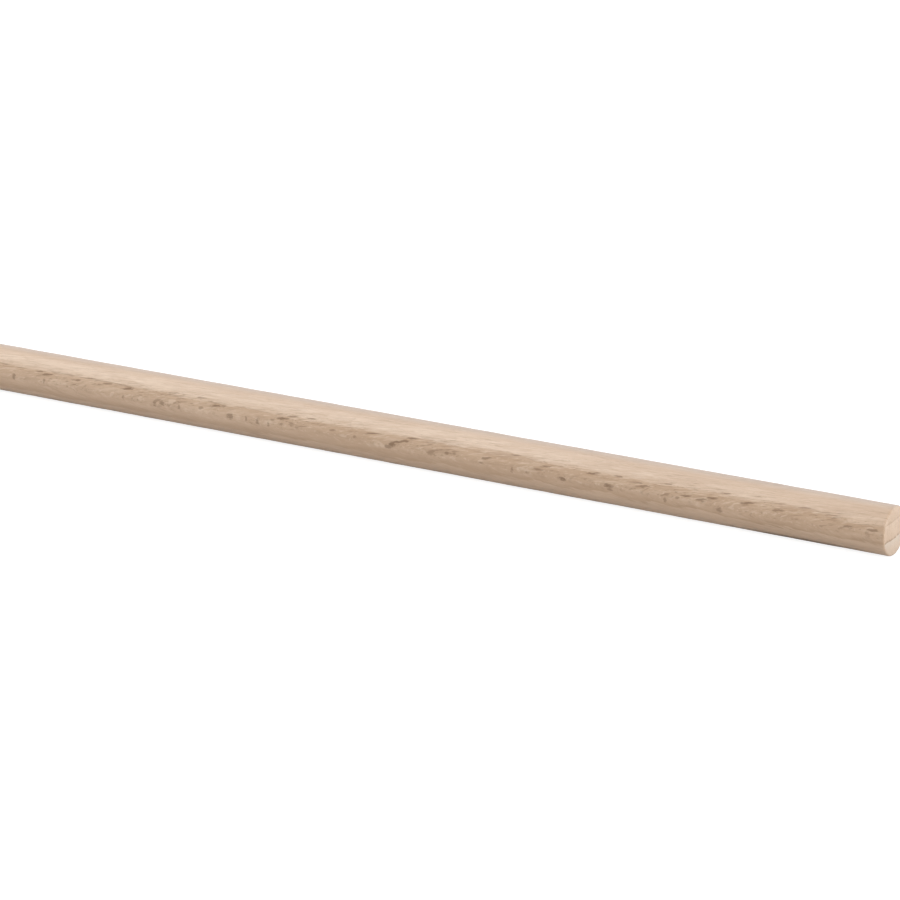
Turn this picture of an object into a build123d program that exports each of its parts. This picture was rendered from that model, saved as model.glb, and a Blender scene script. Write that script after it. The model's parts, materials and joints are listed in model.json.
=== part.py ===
from build123d import *
import os

# A straight length of round wooden dowel, lying on its side.
# It runs along X, centred on the origin, and its underside touches Z = 0.

# Driving dimensions, in millimetres
DIAMETER = 12.0
LENGTH = 1000.0
ARRIS_RADIUS = 0.5  # the sawn ends are sanded just enough to take the sharp edge off

os.makedirs("parts", exist_ok=True)

# The round section stands across the grain, with its centre half a diameter up and its seam on top
cross_section = Plane(origin=(0, 0, DIAMETER / 2), x_dir=(0, 0, 1), z_dir=(1, 0, 0))

with BuildPart() as dowel:
    with BuildSketch(cross_section):
        Circle(DIAMETER / 2)
    extrude(amount=LENGTH / 2, both=True)
    end_rims = dowel.edges().filter_by(GeomType.CIRCLE)
    fillet(end_rims, ARRIS_RADIUS)

dowel.part.label = "dowel"
export_step(dowel.part, "parts/dowel.step")
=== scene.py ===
# A straight length of bare beech dowel, lying on a white studio floor.
import json
import math
from collections import namedtuple
from types import SimpleNamespace

import bpy
import numpy as np
from mathutils import Matrix, Vector, noise


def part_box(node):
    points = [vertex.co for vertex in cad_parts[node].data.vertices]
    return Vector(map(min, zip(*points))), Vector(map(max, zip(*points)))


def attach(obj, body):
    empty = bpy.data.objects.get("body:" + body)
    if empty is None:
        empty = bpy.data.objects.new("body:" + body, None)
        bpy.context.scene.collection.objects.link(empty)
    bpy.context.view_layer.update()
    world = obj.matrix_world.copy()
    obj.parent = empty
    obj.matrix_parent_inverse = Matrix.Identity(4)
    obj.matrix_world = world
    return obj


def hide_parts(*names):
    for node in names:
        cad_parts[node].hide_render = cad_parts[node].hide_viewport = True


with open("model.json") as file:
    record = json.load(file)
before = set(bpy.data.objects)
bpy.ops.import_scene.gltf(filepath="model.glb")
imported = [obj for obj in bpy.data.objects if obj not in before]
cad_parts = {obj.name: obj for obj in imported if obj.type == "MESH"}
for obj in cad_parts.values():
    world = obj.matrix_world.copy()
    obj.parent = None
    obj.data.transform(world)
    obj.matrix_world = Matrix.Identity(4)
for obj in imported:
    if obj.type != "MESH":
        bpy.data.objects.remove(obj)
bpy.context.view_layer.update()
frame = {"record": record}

# Sizes read from the frame, in metres
MM = 0.001
low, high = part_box("dowel")
shank = next(mount for mount in frame["record"]["mounts"] if mount["name"] == "shank")
LENGTH = high.x - low.x
RADIUS = shank["dims"]["r_mm"] * MM
DIAMETER = 2 * RADIUS
ARRIS = (LENGTH - shank["dims"]["length_mm"] * MM) / 2
AXIS = Vector(shank["pos_m"])
NEAR_END = AXIS + Vector((LENGTH / 2, 0, 0))
FAR_END = AXIS - Vector((LENGTH / 2, 0, 0))

# The photograph's camera, in pixels of its 900 by 900 frame
IMAGE_PIXELS = 900
FOCAL_PIXELS = 3648
NEAR_END_PIXEL = (895.0, 531.0)
NEAR_END_DEPTH = 69.59 * DIAMETER
CAMERA_AZIMUTH = math.radians(30.76)
CAMERA_ELEVATION = math.radians(17.99)
SENSOR = 36.0
CLIP_START = 0.01
CLIP_END = 50

# The mesh. Its seam is underneath
SEGMENTS = 126
SIDE_STEPS = 680
FACE_RINGS = 12
ARRIS_STEPS = 5
SEAM_ANGLE = -math.pi / 2

# The relief of the planed grain. Its lumps are given along the grain, across it and up it, in millimetres
SKIN = 0.016 * MM
RELIEF = 0.075 * MM
MEAN_RELIEF = 0.5
BROAD_LUMPS = (5.5, 1.2, 1.2)
BROAD_SHARE = 0.7
FINE_LUMPS = (2.0, 0.6, 0.6)
FINE_SHARE = 0.15
FINE_SHIFT = Vector((50, 0, 0))
GRAIN_LEAN = 0.066

# The mesh's map: strips of the side under each other, and the two ends in a row above them
STRIPS = 5
STRIP_HEIGHT = 0.176
END_RADIUS = 0.042
MAP_MARGIN = 0.004


def make_camera():
    """Puts the camera where the photograph was taken from."""
    turn_cos, turn_sin = math.cos(CAMERA_AZIMUTH), math.sin(CAMERA_AZIMUTH)
    tilt_cos, tilt_sin = math.cos(CAMERA_ELEVATION), math.sin(CAMERA_ELEVATION)
    right = Vector((turn_cos, turn_sin, 0))
    forward = Vector((-turn_sin * tilt_cos, turn_cos * tilt_cos, -tilt_sin))
    up = right.cross(forward)
    across = (NEAR_END_PIXEL[0] - IMAGE_PIXELS / 2) / FOCAL_PIXELS
    down = (NEAR_END_PIXEL[1] - IMAGE_PIXELS / 2) / FOCAL_PIXELS
    data = bpy.data.cameras.new("camera")
    data.sensor_width = SENSOR
    data.lens = SENSOR * FOCAL_PIXELS / IMAGE_PIXELS
    data.clip_start = CLIP_START
    data.clip_end = CLIP_END
    camera = bpy.data.objects.new("camera", data)
    place = NEAR_END - NEAR_END_DEPTH * (forward + across * right - down * up)
    turn = Matrix((right, up, -forward)).transposed().to_4x4()
    camera.matrix_world = Matrix.Translation(place) @ turn
    bpy.context.scene.collection.objects.link(camera)
    bpy.context.scene.camera = camera


def end_profile():
    """One end from the middle of its face to the foot of its eased edge, as (inset, radius) pairs."""
    flat = RADIUS - ARRIS
    points = [(0.0, flat * ring / FACE_RINGS) for ring in range(1, FACE_RINGS + 1)]
    for step in range(1, ARRIS_STEPS + 1):
        angle = math.pi / 2 * step / ARRIS_STEPS
        points.append((ARRIS * (1 - math.cos(angle)), flat + ARRIS * math.sin(angle)))
    return points


def relief_at(point):
    """How far the planed grain lies below the round at a point, from 0 to 1."""
    along, across, height = point / MM
    across -= along * GRAIN_LEAN

    def in_lumps(sizes):
        return Vector((along / sizes[0], across / sizes[1], height / sizes[2]))

    broad = noise.noise(in_lumps(BROAD_LUMPS))
    fine = noise.noise(in_lumps(FINE_LUMPS) + FINE_SHIFT)
    return min(1.0, max(0.0, MEAN_RELIEF + BROAD_SHARE * broad + FINE_SHARE * fine))


def ring_of_points(x, radius):
    """One ring of the mesh's points, pressed in by the relief."""
    points = []
    for angle in np.linspace(SEAM_ANGLE, SEAM_ANGLE + 2 * math.pi, SEGMENTS, endpoint=False):
        out = Vector((0, -math.cos(angle), math.sin(angle)))
        point = AXIS + Vector((x, 0, 0)) + radius * out
        depth = (SKIN + RELIEF * relief_at(point)) * radius / RADIUS
        points.append(point - depth * out)
    return points


def map_on_side(step, segment, strip):
    """Where a point of the side lies on the map."""
    steps = SIDE_STEPS // STRIPS
    along = (step - strip * steps) / steps
    u = MAP_MARGIN + along * (1 - 2 * MAP_MARGIN)
    v = MAP_MARGIN + strip * (STRIP_HEIGHT + MAP_MARGIN) + segment / SEGMENTS * STRIP_HEIGHT
    return u, v


def map_on_end(share, segment, end):
    """Where a point of an end lies on the map, share being how far out it is from the middle."""
    middle_u = MAP_MARGIN + END_RADIUS + end * (1 - 2 * MAP_MARGIN - 2 * END_RADIUS)
    middle_v = 1 - MAP_MARGIN - END_RADIUS
    angle = 2 * math.pi * segment / SEGMENTS
    return middle_u + share * END_RADIUS * math.cos(angle), middle_v + share * END_RADIUS * math.sin(angle)


def make_dowel():
    """The dowel's own mesh, a turned grid with the grain's slight relief cut into it, and its map."""
    end = end_profile()
    far = [(-LENGTH / 2 + inset, radius) for inset, radius in end]
    near = [(LENGTH / 2 - inset, radius) for inset, radius in reversed(end)]
    side = np.linspace(far[-1][0], near[0][0], SIDE_STEPS + 1)[1:-1]
    rings = far + [(float(x), RADIUS) for x in side] + near
    vertices = [FAR_END]
    for x, radius in rings:
        vertices += ring_of_points(x, radius)
    vertices.append(NEAR_END)
    tip = len(vertices) - 1
    last = len(rings) - 1
    foot = len(end) - 1

    def corner(ring, segment):
        return 1 + ring * SEGMENTS + segment % SEGMENTS

    def place_on_map(ring, segment, start):
        """The map place of a corner of a face that starts at the ring called start."""
        if start < foot:
            return map_on_end((ring + 1) / len(end), segment, 0)
        if start >= foot + SIDE_STEPS:
            return map_on_end((last - ring + 1) / len(end), segment, 1)
        strip = (start - foot) // (SIDE_STEPS // STRIPS)
        return map_on_side(ring - foot, segment, strip)

    faces, places = [], []
    for segment in range(SEGMENTS):
        faces.append((0, corner(0, segment), corner(0, segment + 1)))
        places += [map_on_end(0, 0, 0), place_on_map(0, segment, 0), place_on_map(0, segment + 1, 0)]
    for ring in range(last):
        for segment in range(SEGMENTS):
            around = ((ring, segment), (ring + 1, segment), (ring + 1, segment + 1), (ring, segment + 1))
            faces.append(tuple(corner(*spot) for spot in around))
            places += [place_on_map(*spot, ring) for spot in around]
    for segment in range(SEGMENTS):
        faces.append((tip, corner(last, segment + 1), corner(last, segment)))
        places += [map_on_end(0, 0, 1), place_on_map(last, segment + 1, last),
                   place_on_map(last, segment, last)]
    mesh = bpy.data.meshes.new("beech_dowel")
    mesh.from_pydata(vertices, [], faces)
    layout = mesh.uv_layers.new(name="OFBake")
    layout.data.foreach_set("uv", np.array(places, dtype=np.float32).ravel())
    mesh.shade_smooth()
    piece = bpy.data.objects.new("beech_dowel", mesh)
    bpy.context.scene.collection.objects.link(piece)
    return piece


# A fade goes smoothly from low to high while the value that it follows goes from start to end
Fade = namedtuple("Fade", "start end low high", defaults=(0.0, 1.0))

# Noise lies round its middle. Each pattern is shifted, so that no two are alike
NOISE_MIDDLE = 0.5
PATTERN_SHIFT = 3.7
PATTERN_DETAIL = 2.0


class Graph:
    """Adds shader nodes and wires them, so that a material reads as a list of formulas."""

    def __init__(self, tree):
        self.tree = tree
        self.patterns = 0

    def put(self, kind, inputs=(), **settings):
        """Adds a node, with its settings and with values or sockets for its inputs."""
        made = self.tree.nodes.new(kind)
        for name, value in settings.items():
            setattr(made, name, value)
        for name, value in dict(inputs).items():
            self.feed(made.inputs[name], value)
        return made

    def feed(self, socket, value):
        """Gives an input a value or joins another node to it."""
        if isinstance(value, bpy.types.NodeSocket):
            self.tree.links.new(value, socket)
        else:
            socket.default_value = value

    def math(self, operation, first, second=0.0):
        return self.put("ShaderNodeMath", {0: first, 1: second}, operation=operation).outputs[0]

    def vector(self, operation, first, second=(0, 0, 0)):
        made = self.put("ShaderNodeVectorMath", {0: first, 1: second}, operation=operation)
        return made.outputs["Value" if operation in ("LENGTH", "DISTANCE") else "Vector"]

    def total(self, first, *others):
        for other in others:
            first = self.math("ADD", first, other)
        return first

    def times(self, first, *others):
        for other in others:
            first = self.math("MULTIPLY", first, other)
        return first

    def most(self, first, second):
        return self.math("MAXIMUM", first, second)

    def less(self, first, second):
        return self.math("SUBTRACT", first, second)

    def between(self, share, first, second):
        """A number that goes from the first to the second as the share goes from 0 to 1."""
        return self.total(first, self.times(share, self.less(second, first)))

    def fade(self, value, fade):
        """What a fade gives for the value."""
        inputs = {"Value": value, "From Min": fade.start, "From Max": fade.end,
                  "To Min": fade.low, "To Max": fade.high}
        return self.put("ShaderNodeMapRange", inputs, interpolation_type="SMOOTHSTEP").outputs[0]

    def pattern(self, place, sizes, detail=PATTERN_DETAIL):
        """A smooth noise with lumps of these sizes, each time from another part of the noise."""
        self.patterns += 1
        shift = PATTERN_SHIFT * self.patterns
        lumps = self.vector("ADD", self.vector("DIVIDE", place, sizes), (shift, shift, shift))
        return self.put("ShaderNodeTexNoise", {"Vector": lumps, "Scale": 1.0, "Detail": detail}).outputs

    def noise(self, place, sizes, detail=PATTERN_DETAIL):
        """The noise's value."""
        return self.pattern(place, sizes, detail)["Fac"]

    def sway(self, value, reach):
        """A noise value turned into a shift that averages 0 and spans about the reach."""
        return self.times(self.less(value, NOISE_MIDDLE), reach)

    def blend(self, share, first, second):
        """A colour that goes from the first to the second as the share goes from 0 to 1."""
        made = self.put("ShaderNodeMix", {"Factor": share}, data_type="RGBA")
        colours = [socket for socket in made.inputs if socket.type == "RGBA"]
        self.feed(colours[0], first)
        self.feed(colours[1], second)
        return next(socket for socket in made.outputs if socket.type == "RGBA")


# The wood's sizes in millimetres, from the middle of the axis
HALF_LENGTH = LENGTH / 2 / MM
ROUND = RADIUS / MM

# The wood's colours, linear
PALE = (0.60, 0.435, 0.31, 1)
LATE = (0.47, 0.315, 0.203, 1)
RAY = (0.25, 0.155, 0.09, 1)
# Silky tone of light rays and streaks; above the front edge it is also painted highlight
SILK_AND_HIGHLIGHT = (0.74, 0.59, 0.455, 1)
END_PALE = (0.72, 0.585, 0.475, 1)
# Greyer end grain towards the foot of the end face, partly painted shade where less light falls
END_GREY_AND_SHADE = (0.60, 0.545, 0.48, 1)
# Painted sheen: a greyer, darker tone for the top of the round, standing in for its grazing reflection and
# weaker light
PAINTED_SHEEN_GREY = (0.53, 0.44, 0.39, 1)

# Patterns in the wood, by the size of their lumps along the grain, across it and up it, in millimetres
SLOW_BENDS = (45, 9, 9)
TONGUES = (14, 0.9, 2.0)
JAGS = (3, 0.2, 0.8)
RIPPLES = (3.5, 1.4, 1.4)
LONG_FLECKS = (4.5, 0.15, 1.5)
SHORT_FLECKS = (1.5, 0.1, 0.55)
CROWDS = (16, 3, 5)
WISPS = (6, 0.35, 1.2)
STREAKS = (14, 0.8, 1.2)
FIBRES = (8, 0.22, 0.22)
CLOUDS = (30, 4, 4)
GAPS = (6, 1.1, 1.1)
FINE_DETAIL = 3.0

# How far the patterns move what they bend, in millimetres, and how far they eat into a ray's edge
BENDS_REACH = 1.2
TONGUES_REACH = 3.4
JAGS_REACH = 1.2
RIPPLES_REACH = (1.2, 0.18, 0.7)
RAGGED_REACH = 2.4

# The rings, in millimetres. The edge of one of them, this far from the pith, runs along the front
PITH = (0.0, 2.0, 43.0)
FRONT_EDGE = 40.61

# By the near end the rings are bent: how much per millimetre across, and how much on the axis
END_TILT = 0.12
END_RISE = 0.1

# Fades that follow the distance from the near end
END_BEND = Fade(8, 35, 1.0, 0.0)
RING_WIDTH = Fade(0, 250, 4.2, 5.6)
RING_GAIN = Fade(8, 35, 0.0, 0.75)
NEAR_CALM = Fade(0, 12, 0.15, 1.0)
FAR_CALM = Fade(170, 215, 1.0, 0.35)
LATE_SHARE = Fade(140, 190, 0.38, 0.08)
# How much silk tone and painted highlight lies above the front edge
SILK_AND_HIGHLIGHT_SHARE = Fade(0, 180, 0.1, 0.4)
NEXT_LINE_SHARE = Fade(75, 40, 0.0, 0.2)
EDGE_LINE_SHARE = Fade(150, 220, 0.15, 0.5)

# Fades that follow the rings, from 0 at the front edge to 1 at the next ring
LATE_STARTS = Fade(-0.02, 0.03)
LATE_AT_EDGE = Fade(0.3, 0.06, 0.0, 0.2)
LATE_GROWS = Fade(0.6, 0.95)
LATE_STOPS = Fade(1.03, 0.97)
# The strip of silk tone and painted highlight above the front edge
SILK_AND_HIGHLIGHT_STARTS = Fade(-0.52, -0.25)
SILK_AND_HIGHLIGHT_STOPS = Fade(0.03, -0.02)
NEXT_LINE_STARTS = Fade(0.82, 0.96)
NEXT_LINE_STOPS = Fade(1.03, 0.99)
EDGE_LINE_STARTS = Fade(-0.05, 0.0)
EDGE_LINE_STOPS = Fade(0.06, 0.01)
# Where the greyer end grain and painted shade lie on the end face
END_GREY_AND_SHADE_STARTS = Fade(0.97, 1.03)
END_GREY_AND_SHADE_SHARE = Fade(1.5, 1.05, 0.2, 0.45)

# Fades that follow the way through one ring, from 0 to 1
END_PALE_SHARE = Fade(0.3, 0.02, 0.5, 0.75)
END_LINE = Fade(0.84, 0.97)

# Fades that follow the height or the place across, in millimetres from the axis
BAND_FOOT = Fade(-1.5, 0.9, 0.35, 1.0)
BAND_TOP = Fade(4.8, 3.0, 0.65, 1.0)
END_LINE_SHARE = Fade(-1, 1, 0.6, 0.22)
# Where the painted sheen lies: towards the back across, and towards the top up
PAINTED_SHEEN_ACROSS = Fade(-2.4, 0.2)
PAINTED_SHEEN_UP = Fade(1.0, 4.0)

# Fades that follow the value of a pattern
CROWDED = Fade(0.4, 0.62, 0.3, 1.0)
DARK_LONG = Fade(0.57, 0.69)
DARK_SHORT = Fade(0.59, 0.72)
LIGHT_LONG = Fade(0.43, 0.31)
LIGHT_SHORT = Fade(0.42, 0.28)
WISP_SHARE = Fade(0.5, 0.72, 0.0, 0.4)
FIBRE_SHARE = Fade(0.35, 0.75, 0.0, 0.42)
CLOUD_SHARE = Fade(0.35, 0.65, 0.0, 0.25)
UNBROKEN = Fade(0.38, 0.58)
DARK_STREAK = Fade(0.5, 0.7)
LIGHT_STREAK = Fade(0.5, 0.3)
SHEEN = Fade(0.3, 0.7, 0.34, 0.42)

# A fade that follows how squarely a surface faces along the axis, as the two ends do
ON_END = Fade(0.6, 0.95)

# How much of a tone is laid over the others
LATE_GROWN = 0.74
END_LATE_POWER = 4.0
END_LATE_SHARE = 0.4
# How much the painted sheen greys the top
PAINTED_SHEEN_SHARE = 0.5
DARK_STREAK_SHARE = 0.16
LIGHT_STREAK_SHARE = 0.25
DARK_FLECK_SHARE = 0.58
LIGHT_FLECK_SHARE = 0.8
LIGHT_RAY_SHARE = 0.55
DARK_RAY_SHARE = 0.95
# How far the painted shade under the near end darkens
PAINTED_UNDERSIDE_SHADE_SHARE = 0.95

# The surface
END_ROUGHNESS = 0.6
BUMP_STRENGTH = 0.25
BUMP_DEPTH = 0.08 * MM

# The boldest rays on the front, by their (length, thickness, height, strength), in millimetres but for the
# strength. Each is placed by its millimetres from the near end and its degrees up the side
DARK_RAYS = {
    (4.8, 0.26, 1.4, 1.0): ((137.4, 26), (211.2, 26)),
    (3.6, 0.26, 1.4, 1.0): ((35.1, 23), (75.9, 27), (126.0, 31), (163.6, 22), (184.1, 23), (236.6, 24)),
    (2.9, 0.2, 1.2, 0.95): ((44.3, 20), (51.1, 15)),
    (3.2, 0.28, 1.4, 1.0): ((128.2, 21), (130.1, 15), (131.8, 9)),
    (1.9, 0.3, 1.5, 0.7): ((42.4, -5), (71.2, -2)),
    (3.2, 0.22, 1.1, 0.8): ((3.4, 14), (9.4, 13), (20.4, 36), (27.1, 19), (40.6, 36), (47.1, 12),
                            (56.1, 33), (62.1, 18), (64.1, 23), (69.1, 30), (88.8, 22), (91.1, 11),
                            (97.4, 35), (105.2, 17), (116.1, 11), (155.4, 33), (161.1, 30), (188.8, 35),
                            (197.1, 35), (217.6, 28), (223.6, 33), (227.1, 23), (239.1, 28)),
    (2.6, 0.3, 0.95, 0.95): ((71.6, 4), (84.2, 0)),
    (1.5, 0.28, 0.8, 0.6): ((12.9, 24), (53.0, 5), (77.6, 10), (93.8, 0), (106.1, 2), (113.9, 13),
                            (120.6, 2), (142.6, 9), (149.0, 16), (161.3, 14), (166.6, 14), (181.6, 25),
                            (188.4, 11), (220.1, 22)),
    (2.2, 0.32, 1.8, 0.75): ((132.9, 1), (179.6, 4), (200.4, 5)),
    (1.2, 0.34, 2.1, 0.75): ((171.2, 6), (202.6, 2), (247.4, 3)),
    (0.8, 0.34, 1.6, 0.6): ((56.2, -5), (97.9, 0), (167.9, 2), (174.6, 4), (195.1, 3), (212.4, 2),
                            (237.6, 6)),
}
LIGHT_RAYS = {
    (2.8, 0.28, 1.2, 0.9): ((12.6, 27), (17.6, 29), (46.4, 14), (61.6, 46), (91.6, 42), (116.1, 44),
                            (119.1, 35), (143.1, 43), (160.6, 26), (168.1, 8), (197.6, 14)),
    (1.4, 0.34, 1.9, 0.7): ((136.1, 2), (177.1, 6), (207.1, 7), (216.1, 5)),
}

# A ray's edge by the distance from its middle in half sizes, and a distance at which none shows
RAY_EDGE = Fade(1.25, 0.5)
FAR_AWAY = 9.0

# Painted shade: a dark streak low on the underside by the near end, where the contact shadow falls, placed as
# the rays are
PAINTED_UNDERSIDE_SHADE = (22, -58)
PAINTED_UNDERSIDE_SHADE_SIZE = (52, 5.0, 2.6)
PAINTED_UNDERSIDE_SHADE_EDGE = Fade(1.0, 0.2)


def on_side(from_end, degrees):
    """A place on the round side, in millimetres from the middle of the axis."""
    angle = math.radians(degrees)
    return Vector((HALF_LENGTH - from_end, -ROUND * math.cos(angle), ROUND * math.sin(angle)))


def places_in_wood(graph):
    """Where a point lies in the wood, in millimetres, and how far it belongs to an end or to the side."""
    coords = graph.put("ShaderNodeTexCoord").outputs
    in_mm = graph.vector("DIVIDE", coords["Object"], (MM, MM, MM))
    place = graph.vector("SUBTRACT", in_mm, tuple(AXIS / MM))
    along, across, height = graph.put("ShaderNodeSeparateXYZ", {0: place}).outputs
    facing = graph.put("ShaderNodeSeparateXYZ", {0: coords["Normal"]}).outputs[0]
    end = graph.fade(graph.math("ABSOLUTE", facing), ON_END)
    lean = graph.put("ShaderNodeCombineXYZ", {1: graph.times(along, -GRAIN_LEAN)}).outputs[0]
    straight = graph.vector("ADD", place, lean)
    middle = (NOISE_MIDDLE, NOISE_MIDDLE, NOISE_MIDDLE)
    ripple = graph.vector("SUBTRACT", graph.pattern(straight, RIPPLES)["Color"], middle)
    rippled = graph.vector("ADD", straight, graph.vector("MULTIPLY", ripple, RIPPLES_REACH))
    return SimpleNamespace(place=place, straight=straight, rippled=rippled, across=across, height=height,
                           end=end, side=graph.less(1.0, end), from_end=graph.less(HALF_LENGTH, along))


def growth_rings(graph, wood):
    """How many rings a point lies outside the ring edge on the front."""
    bends = graph.sway(graph.noise(wood.place, SLOW_BENDS), BENDS_REACH)
    tongues = graph.sway(graph.noise(wood.straight, TONGUES), TONGUES_REACH)
    jags = graph.sway(graph.noise(wood.straight, JAGS), JAGS_REACH)
    lively = graph.times(graph.fade(wood.from_end, NEAR_CALM), graph.fade(wood.from_end, FAR_CALM))
    bent = graph.total(graph.times(wood.across, END_TILT), END_RISE)
    end_bend = graph.times(graph.fade(wood.from_end, END_BEND), bent)
    wander = graph.total(bends, end_bend, graph.times(graph.total(tongues, jags), lively))
    across = graph.vector("MULTIPLY", graph.vector("SUBTRACT", wood.place, PITH), (0, 1, 1))
    outside = graph.less(graph.total(graph.vector("LENGTH", across), wander), FRONT_EDGE)
    width = graph.total(graph.fade(wood.from_end, RING_WIDTH), graph.fade(wood.from_end, RING_GAIN))
    return graph.math("DIVIDE", outside, width)


def latewood_on_side(graph, wood, turns):
    """The share of latewood on the side: it sets in at the front edge and grows to the next ring's edge."""
    fresh = graph.total(graph.fade(wood.from_end, LATE_SHARE), graph.fade(turns, LATE_AT_EDGE))
    grown = graph.between(graph.fade(turns, LATE_GROWS), fresh, LATE_GROWN)
    return graph.times(grown, graph.fade(turns, LATE_STARTS), graph.fade(turns, LATE_STOPS), wood.side)


def silk_and_painted_highlight(graph, wood, turns):
    """The share of silk tone above the front edge, with brighter wisps in it: partly silky wood, partly
    painted highlight where the lit top begins.
    """
    strip = graph.times(graph.fade(turns, SILK_AND_HIGHLIGHT_STARTS), graph.fade(turns, SILK_AND_HIGHLIGHT_STOPS))
    wisps = graph.fade(graph.noise(wood.straight, WISPS), WISP_SHARE)
    return graph.times(strip, graph.total(graph.fade(wood.from_end, SILK_AND_HIGHLIGHT_SHARE), wisps), wood.side)


def placed_rays(graph, wood, ragged, shapes):
    """Rays at chosen places, each a thin flat lens in the wood. Returns how strongly they show."""
    shown = 0.0
    for (length, thickness, height, strength), rays in shapes.items():
        lens = Vector((length, thickness, height)) / 2
        scaled = graph.vector("DIVIDE", wood.rippled, lens)
        nearest = FAR_AWAY
        for ray in rays:
            x, y, z = on_side(*ray)
            middle = (x / lens.x, (y - GRAIN_LEAN * x) / lens.y, z / lens.z)
            nearest = graph.math("MINIMUM", nearest, graph.vector("DISTANCE", scaled, middle))
        shape = graph.fade(graph.total(nearest, ragged), RAY_EDGE)
        shown = graph.most(shown, graph.times(shape, strength))
    return shown


def ray_figure(graph, wood):
    """The rays, thin ribbons that stand along the radius. Returns the dark and light ones and their band."""
    band = graph.times(graph.fade(wood.height, BAND_FOOT), graph.fade(wood.height, BAND_TOP))
    crowd = graph.fade(graph.noise(wood.place, CROWDS), CROWDED)
    long_fleck = graph.noise(wood.rippled, LONG_FLECKS)
    short_fleck = graph.noise(wood.rippled, SHORT_FLECKS)
    ragged = graph.sway(short_fleck, RAGGED_REACH)
    dark_flecks = graph.most(graph.fade(long_fleck, DARK_LONG), graph.fade(short_fleck, DARK_SHORT))
    light_flecks = graph.most(graph.fade(long_fleck, LIGHT_LONG), graph.fade(short_fleck, LIGHT_SHORT))
    dark_rays = placed_rays(graph, wood, ragged, DARK_RAYS)
    dark = graph.most(dark_rays, graph.times(dark_flecks, band, crowd, DARK_FLECK_SHARE))
    light_rays = placed_rays(graph, wood, ragged, LIGHT_RAYS)
    light = graph.most(light_rays, graph.times(light_flecks, band, LIGHT_FLECK_SHARE))
    return dark, light, band


def painted_underside_shade(graph, wood):
    """How strongly the painted shade low on the underside by the near end shows."""
    half = Vector(PAINTED_UNDERSIDE_SHADE_SIZE) / 2
    middle = on_side(*PAINTED_UNDERSIDE_SHADE)
    scaled = graph.vector("DIVIDE", wood.place, half)
    away = graph.vector("DISTANCE", scaled, (middle.x / half.x, middle.y / half.y, middle.z / half.z))
    return graph.times(graph.fade(away, PAINTED_UNDERSIDE_SHADE_EDGE), wood.side)


def ring_line(graph, wood, turns, starts, stops, gaps):
    """How strongly a thin broken line along a ring shows on the side."""
    return graph.times(graph.fade(turns, starts), graph.fade(turns, stops), gaps, wood.side)


def beech_colour(graph, wood, fibre, dark_rays, light_rays, band):
    """The colour of the wood, one tone laid over another, with painted sheen on the top, painted highlight
    above the front edge and painted shade low by the near end and at the foot of the end face.
    """
    turns = growth_rings(graph, wood)
    phase = graph.math("FRACT", turns)
    gaps = graph.fade(graph.noise(wood.place, GAPS), UNBROKEN)
    streak = graph.noise(wood.straight, STREAKS, FINE_DETAIL)
    on_band = graph.times(band, wood.side)
    colour = graph.blend(latewood_on_side(graph, wood, turns), PALE, LATE)
    # Silk tone and painted highlight above the front edge, where the lit top begins
    colour = graph.blend(silk_and_painted_highlight(graph, wood, turns), colour, SILK_AND_HIGHLIGHT)
    colour = graph.blend(graph.times(wood.end, graph.fade(phase, END_PALE_SHARE)), colour, END_PALE)
    end_late = graph.times(wood.end, graph.math("POWER", phase, END_LATE_POWER), END_LATE_SHARE)
    colour = graph.blend(end_late, colour, LATE)
    colour = graph.blend(graph.fade(fibre, FIBRE_SHARE), colour, LATE)
    colour = graph.blend(graph.fade(graph.noise(wood.place, CLOUDS), CLOUD_SHARE), colour, LATE)
    # Painted sheen: the top of the round greyed and darkened in place of its grazing reflection and weaker
    # light
    painted_sheen_top = graph.times(graph.fade(wood.across, PAINTED_SHEEN_ACROSS), graph.fade(wood.height, PAINTED_SHEEN_UP), wood.side)
    colour = graph.blend(graph.times(painted_sheen_top, PAINTED_SHEEN_SHARE), colour, PAINTED_SHEEN_GREY)
    # Greyer end grain and painted shade towards the foot of the end face
    end_grey_and_shade = graph.times(wood.end, graph.fade(turns, END_GREY_AND_SHADE_STARTS), graph.fade(turns, END_GREY_AND_SHADE_SHARE))
    colour = graph.blend(end_grey_and_shade, colour, END_GREY_AND_SHADE)
    end_share = graph.times(wood.end, graph.fade(wood.height, END_LINE_SHARE))
    colour = graph.blend(graph.times(graph.fade(phase, END_LINE), gaps, end_share), colour, RAY)
    next_line = ring_line(graph, wood, turns, NEXT_LINE_STARTS, NEXT_LINE_STOPS, gaps)
    colour = graph.blend(graph.times(next_line, graph.fade(wood.from_end, NEXT_LINE_SHARE)), colour, RAY)
    edge_line = ring_line(graph, wood, turns, EDGE_LINE_STARTS, EDGE_LINE_STOPS, gaps)
    colour = graph.blend(graph.times(edge_line, graph.fade(wood.from_end, EDGE_LINE_SHARE)), colour, RAY)
    dark_streak = graph.times(graph.fade(streak, DARK_STREAK), on_band, DARK_STREAK_SHARE)
    colour = graph.blend(dark_streak, colour, RAY)
    light_streak = graph.times(graph.fade(streak, LIGHT_STREAK), on_band, LIGHT_STREAK_SHARE)
    colour = graph.blend(light_streak, colour, SILK_AND_HIGHLIGHT)
    colour = graph.blend(graph.times(light_rays, LIGHT_RAY_SHARE), colour, SILK_AND_HIGHLIGHT)
    # Painted shade low on the underside by the near end, where the contact shadow falls
    colour = graph.blend(graph.times(painted_underside_shade(graph, wood), PAINTED_UNDERSIDE_SHADE_SHARE), colour, RAY)
    return graph.blend(graph.times(dark_rays, DARK_RAY_SHARE), colour, RAY)


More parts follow.
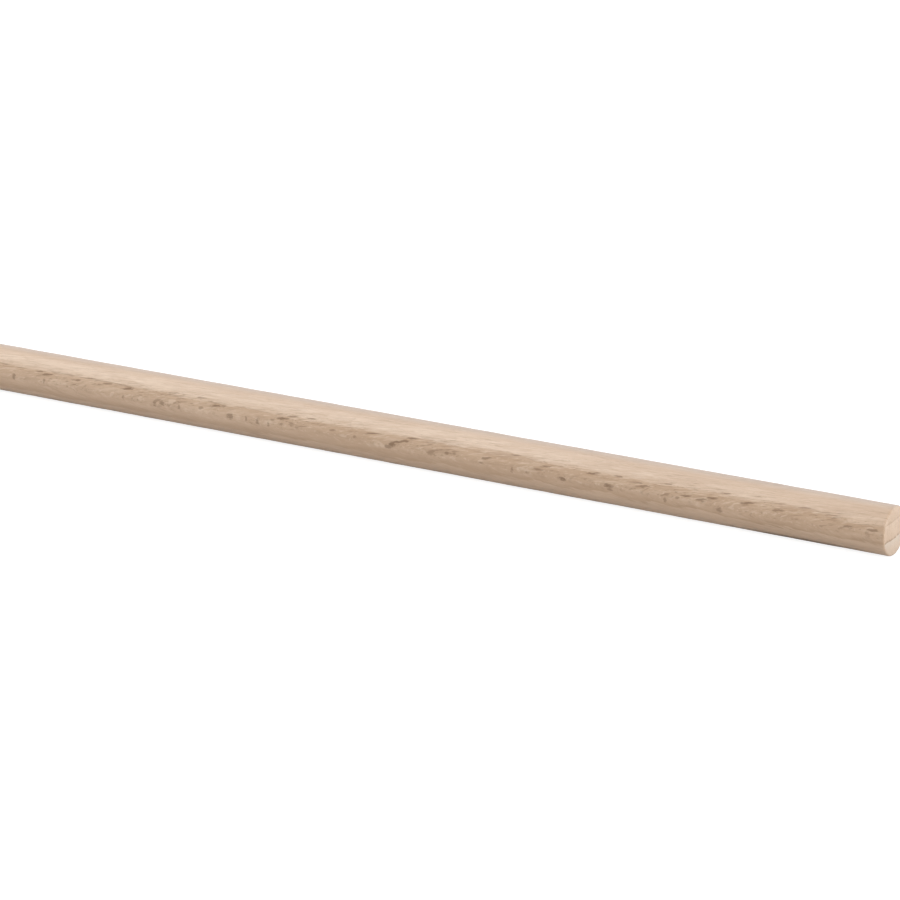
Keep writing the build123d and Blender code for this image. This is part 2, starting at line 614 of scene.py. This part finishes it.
def beech_material():
    """Bare beech as a solid figure, so that the sides and the ends show the same rings and rays."""
    material = bpy.data.materials.new("beech")
    material.use_nodes = True
    shader = material.node_tree.nodes["Principled BSDF"]
    graph = Graph(material.node_tree)
    wood = places_in_wood(graph)
    dark_rays, light_rays, band = ray_figure(graph, wood)
    fibre = graph.noise(wood.rippled, FIBRES, FINE_DETAIL)
    colour = beech_colour(graph, wood, fibre, dark_rays, light_rays, band)
    graph.feed(shader.inputs["Base Color"], colour)
    roughness = graph.most(graph.fade(fibre, SHEEN), graph.times(wood.end, END_ROUGHNESS))
    graph.feed(shader.inputs["Roughness"], roughness)
    height = graph.less(fibre, dark_rays)
    bump = graph.put("ShaderNodeBump", {"Height": height, "Strength": BUMP_STRENGTH, "Distance": BUMP_DEPTH})
    graph.feed(shader.inputs["Normal"], bump.outputs[0])
    return material


# The studio, in metres. The floor's glow follows the distance from the middle
FLOOR_SIZE = 40.0
WHITE = (1, 1, 1, 1)
FLOOR_COLOUR = (0.78, 0.78, 0.78, 1)
FLOOR_SEEN = (0.3, 0.3, 0.3, 1)
GLOW_SEEN = Fade(0.7, 1.6, 0.88, 1.0)
GLOW_MIRRORED = 0.1
AMBIENT = 0.12

# The lamps, by their place, aim, size and watts
SOFTBOXES = {
    "top_softbox": ((-0.35, -0.42, 1.2), (-0.35, -0.42, 0), (0.8, 1.74), 15.4),
    "back_softbox": ((-0.35, 1.2, 1.2), (-0.35, 1.2, 0), (0.8, 1.5), 4.6),
    "front_softbox": ((1.3, -1.4, 1.2), (0.37, 0, 0), (1.0, 1.0), 16.8),
    "end_softbox": ((2.2, 0.1, 0.42), (0.5, 0, 0), (1.0, 0.6), 17.5),
    "rear_softbox": ((1.3, 1.5, 0.8), (0.1, 0, 0), (1.0, 1.0), 5),
}


def background_rays(graph):
    """Whether a ray shows the background in the picture, and whether it shows it in a reflection."""
    path = graph.put("ShaderNodeLightPath").outputs
    return path["Is Camera Ray"], graph.most(path["Is Glossy Ray"], path["Is Transmission Ray"])


def make_world():
    """An even white surround."""
    world = bpy.data.worlds.new("studio")
    world.use_nodes = True
    bpy.context.scene.world = world
    graph = Graph(world.node_tree)
    background = world.node_tree.nodes["Background"]
    background.inputs["Color"].default_value = WHITE
    seen, mirrored = background_rays(graph)
    strength = graph.between(graph.most(seen, mirrored), AMBIENT, 1.0)
    graph.feed(background.inputs["Strength"], strength)


def make_floor():
    """A wide white floor that takes the dowel's soft shadow."""
    half = FLOOR_SIZE / 2
    mesh = bpy.data.meshes.new("floor")
    corners = [(-half, -half, 0), (half, -half, 0), (half, half, 0), (-half, half, 0)]
    mesh.from_pydata(corners, [], [(0, 1, 2, 3)])
    floor = bpy.data.objects.new("floor", mesh)
    bpy.context.scene.collection.objects.link(floor)
    material = bpy.data.materials.new("floor_white")
    material.use_nodes = True
    tree = material.node_tree
    tree.nodes.remove(tree.nodes["Principled BSDF"])
    graph = Graph(tree)
    seen, mirrored = background_rays(graph)
    matt = graph.put("ShaderNodeBsdfDiffuse", {"Color": graph.blend(seen, FLOOR_COLOUR, FLOOR_SEEN)})
    away = graph.vector("LENGTH", graph.put("ShaderNodeTexCoord").outputs["Object"])
    glow_seen = graph.fade(away, GLOW_SEEN)
    strength = graph.total(graph.times(seen, glow_seen), graph.times(mirrored, GLOW_MIRRORED))
    glow = graph.put("ShaderNodeEmission", {"Color": WHITE, "Strength": strength})
    both = graph.put("ShaderNodeAddShader", {0: matt.outputs[0], 1: glow.outputs[0]})
    graph.feed(tree.nodes["Material Output"].inputs["Surface"], both.outputs[0])
    mesh.materials.append(material)


def add_softbox(name, place, aim, size, power):
    """A rectangular lamp that faces a point."""
    data = bpy.data.lights.new(name, "AREA")
    data.shape = "RECTANGLE"
    data.size, data.size_y = size
    data.energy = power
    lamp = bpy.data.objects.new(name, data)
    lamp.location = place
    lamp.rotation_mode = "QUATERNION"
    lamp.rotation_quaternion = (Vector(aim) - Vector(place)).to_track_quat("-Z", "Y")
    bpy.context.scene.collection.objects.link(lamp)


bpy.context.scene.view_settings.view_transform = "Standard"
make_camera()
dowel = make_dowel()
dowel.data.materials.append(beech_material())
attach(dowel, "root")
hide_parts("dowel")
make_world()
make_floor()
for name, settings in SOFTBOXES.items():
    add_softbox(name, *settings)
